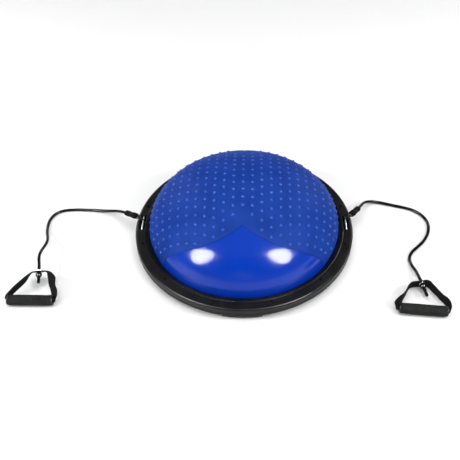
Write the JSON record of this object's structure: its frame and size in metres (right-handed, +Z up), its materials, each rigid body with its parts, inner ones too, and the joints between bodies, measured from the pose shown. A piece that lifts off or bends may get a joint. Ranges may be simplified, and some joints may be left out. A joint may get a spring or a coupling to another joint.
{
  "type": "balance dome trainer",
  "caption": "Inflated half-dome clamped in a round black platform, with a resistance tube and foam handle clipped to an anchor bar on each side.",
  "frame": {"origin": "on the floor, under the middle of the dome, at the middle of the centre rubber foot", "axes": "+Z up along the dome's axis; +X to the user's right, through the right anchor bar's side; -Y to the front, where the handles lie"},
  "size_m": [1.0942, 0.58, 0.184],
  "materials": {
    "platform_plastic": "black moulded plastic, fine grain",
    "ring_plastic": "black moulded plastic, satin",
    "dome_vinyl": "royal blue vinyl: matt with small nubs on two lobes, glossy and smooth between them",
    "screw_steel": "blackened steel",
    "foot_rubber": "black rubber, matt",
    "valve_rubber": "blue vinyl, matt",
    "plug_plastic": "black plastic",
    "bar_chrome": "bright plated steel",
    "hook_steel": "black coated steel, semi-gloss",
    "spring_steel": "spring wire",
    "sleeve_webbing": "black woven nylon, sewn",
    "band_latex": "black latex tube, semi-gloss",
    "ball_plastic": "black moulded ball, glossy",
    "strap_nylon": "black woven nylon webbing",
    "eyelet_nickel": "dark nickel plate",
    "core_plastic": "black plastic",
    "grip_foam": "dark grey closed-cell foam, matt"
  },
  "bodies": {
    "base": {"platform": "platform_plastic", "clamp_ring": "ring_plastic", "bladder": "dome_vinyl", "ring_screws": "screw_steel", "centre_foot": "foot_rubber", "valve_seat": "valve_rubber", "left_anchor_bar": "bar_chrome", "right_anchor_bar": "bar_chrome", "foot_1": "foot_rubber", "foot_2": "foot_rubber", "foot_3": "foot_rubber", "foot_4": "foot_rubber", "foot_5": "foot_rubber", "foot_6": "foot_rubber"},
    "valve_plug": {"valve_plug": "plug_plastic"},
    "left_band": {"left_hook_body": "hook_steel", "left_gate_pin": "hook_steel", "left_link_ring": "hook_steel", "left_band_sleeve": "sleeve_webbing", "left_tube_plug": "plug_plastic", "left_tube": "band_latex", "left_stop_ball": "ball_plastic", "left_tube_tail": "band_latex", "left_tail_plug": "plug_plastic"},
    "left_gate": {"left_hook_gate": "hook_steel", "left_gate_spring": "spring_steel"},
    "left_handle": {"left_strap": "strap_nylon", "left_eyelet": "eyelet_nickel", "left_grip_core": "core_plastic", "left_inner_washer": "core_plastic", "left_outer_washer": "core_plastic"},
    "left_grip": {"left_foam_grip": "grip_foam"},
    "right_band": {"right_hook_body": "hook_steel", "right_gate_pin": "hook_steel", "right_link_ring": "hook_steel", "right_band_sleeve": "sleeve_webbing", "right_tube_plug": "plug_plastic", "right_tube": "band_latex", "right_stop_ball": "ball_plastic", "right_tube_tail": "band_latex", "right_tail_plug": "plug_plastic"},
    "right_gate": {"right_hook_gate": "hook_steel", "right_gate_spring": "spring_steel"},
    "right_handle": {"right_strap": "strap_nylon", "right_eyelet": "eyelet_nickel", "right_grip_core": "core_plastic", "right_inner_washer": "core_plastic", "right_outer_washer": "core_plastic"},
    "right_grip": {"right_foam_grip": "grip_foam"}
  },
  "joints": [
    {"name": "valve_plug_pull", "type": "slide", "parent": "base", "child": "valve_plug", "axis": [0, 0, -1], "range_m": [0, 0.014]},
    {"name": "left_hook_swing", "type": "hinge", "parent": "base", "child": "left_band", "pos_m": [-0.273, 0.017, 0.034], "axis": [0, 1, 0], "range_deg": [0, 60]},
    {"name": "left_gate_swing", "type": "hinge", "parent": "left_band", "child": "left_gate", "pos_m": [-0.28011, 0.02198, 0.04378], "axis": [0.5736, 0.8191, 0], "range_deg": [0, 40], "stiffness_Nm_per_rad": 0.02},
    {"name": "left_handle_swivel", "type": "hinge", "parent": "left_band", "child": "left_handle", "pos_m": [-0.51946, -0.16467, 0.03082], "axis": [0.121, -0.9695, -0.2132], "continuous": true},
    {"name": "left_grip_spin", "type": "hinge", "parent": "left_handle", "child": "left_grip", "pos_m": [-0.5275, -0.243, 0.0136], "axis": [1, 0, 0], "continuous": true},
    {"name": "right_hook_swing", "type": "hinge", "parent": "base", "child": "right_band", "pos_m": [0.273, 0.024, 0.034], "axis": [0, -1, 0], "range_deg": [0, 60]},
    {"name": "right_gate_swing", "type": "hinge", "parent": "right_band", "child": "right_gate", "pos_m": [0.28028, 0.02873, 0.04378], "axis": [0.5446, -0.8387, 0], "range_deg": [0, 40], "stiffness_Nm_per_rad": 0.02},
    {"name": "right_handle_swivel", "type": "hinge", "parent": "right_band", "child": "right_handle", "pos_m": [0.44649, -0.18299, 0.0136], "axis": [0.1445, -0.9895, 0], "continuous": true},
    {"name": "right_grip_spin", "type": "hinge", "parent": "right_handle", "child": "right_grip", "pos_m": [0.436, -0.2658, 0.0136], "axis": [0.996, -0.0889, 0], "continuous": true}
  ]
}
